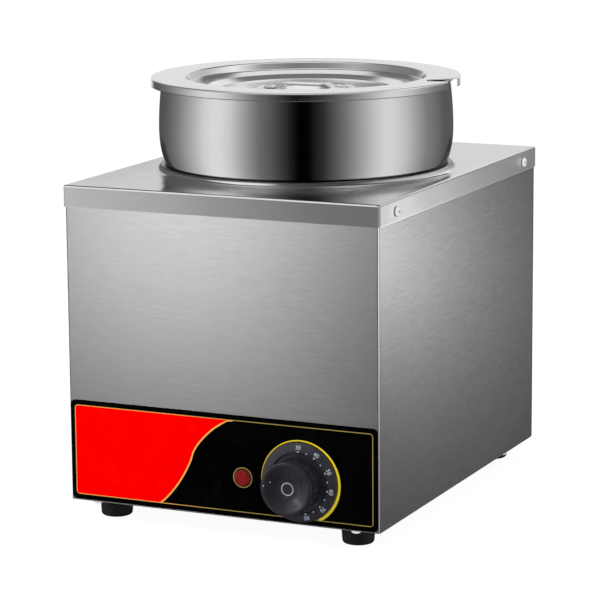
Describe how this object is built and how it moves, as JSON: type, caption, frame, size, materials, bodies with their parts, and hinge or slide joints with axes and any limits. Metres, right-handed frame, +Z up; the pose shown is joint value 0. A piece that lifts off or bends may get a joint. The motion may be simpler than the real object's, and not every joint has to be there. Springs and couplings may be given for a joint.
{
  "type": "countertop bain marie",
  "caption": "Countertop wet-well food warmer: steel box, round pot in a heated water tank, recessed lid with ladle notch, thermostat dial and pilot lamp.",
  "frame": {"origin": "on the floor under the feet, midway in width and midway between the knob's face and the cable gland's end", "axes": "+X to the object's right as seen from the control panel, +Y to the back, so the control panel faces -Y, and +Z up"},
  "size_m": [0.255, 0.3546, 0.3185],
  "materials": {
    "casing_steel": "stainless sheet brushed in one direction",
    "tank_steel": "drawn stainless steel, satin",
    "pot_steel": "spun stainless steel polished to a mirror",
    "lid_steel": "pressed stainless steel, satin polish",
    "label_print": "black film with a red field and gold lines",
    "red_lens": "clear red moulding with small prisms",
    "dark_plastic": "moulded black plastic, fine satin",
    "grey_plastic": "moulded grey plastic",
    "nylon": "natural nylon",
    "zinc_steel": "bright zinc-plated or stainless screw steel",
    "brass": "turned brass",
    "copper": "drawn copper tube",
    "rubber": "black moulded rubber"
  },
  "bodies": {
    "cabinet": {"top_deck": "casing_steel", "outer_shell": "casing_steel", "back_panel": "casing_steel", "bottom_plate": "casing_steel", "water_tank": "tank_steel", "heating_element": "tank_steel", "front_label": "label_print", "pilot_lens": "red_lens", "pilot_body": "dark_plastic", "pilot_clip": "zinc_steel", "dial_ring": "dark_plastic", "thermostat_body": "grey_plastic", "thermostat_screw_left": "zinc_steel", "thermostat_screw_right": "zinc_steel", "capillary_bulb": "copper", "bulb_clip": "zinc_steel", "overheat_cutout": "dark_plastic", "element_nut_left": "brass", "element_nut_right": "brass", "foot_front_left": "rubber", "foot_front_right": "rubber", "foot_rear_left": "rubber", "foot_rear_right": "rubber", "foot_screw_front_left": "zinc_steel", "foot_screw_front_right": "zinc_steel", "foot_screw_rear_left": "zinc_steel", "foot_screw_rear_right": "zinc_steel", "foot_nut_front_left": "zinc_steel", "foot_nut_front_right": "zinc_steel", "foot_nut_rear_left": "zinc_steel", "foot_nut_rear_right": "zinc_steel", "deck_screw_right_front": "zinc_steel", "deck_screw_right_rear": "zinc_steel", "deck_screw_left_front": "zinc_steel", "deck_screw_left_rear": "zinc_steel", "back_screw_right_lower": "zinc_steel", "back_screw_right_upper": "zinc_steel", "back_screw_left_lower": "zinc_steel", "back_screw_left_upper": "zinc_steel", "base_screw_front_right": "zinc_steel", "base_screw_front_left": "zinc_steel", "base_screw_rear_right": "zinc_steel", "base_screw_rear_left": "zinc_steel", "cable_gland": "dark_plastic", "gland_nut": "dark_plastic", "terminal_block": "nylon", "earth_stud": "brass", "earth_nut": "brass"},
    "pot": {"soup_pot": "pot_steel"},
    "lid": {"lid": "lid_steel", "lid_handle": "lid_steel"},
    "knob": {"control_knob": "dark_plastic", "thermostat_shaft": "zinc_steel"}
  },
  "joints": [
    {"name": "pot_lift", "type": "slide", "parent": "cabinet", "child": "pot", "axis": [0, 0, 1], "range_m": [0, 0.22]},
    {"name": "lid_lift", "type": "slide", "parent": "pot", "child": "lid", "axis": [0, 0, 1], "range_m": [0, 0.1]},
    {"name": "knob_turn", "type": "hinge", "parent": "cabinet", "child": "knob", "pos_m": [0.0626, -0.15195, 0.046], "axis": [0, 1, 0], "range_deg": [0, 255]}
  ]
}
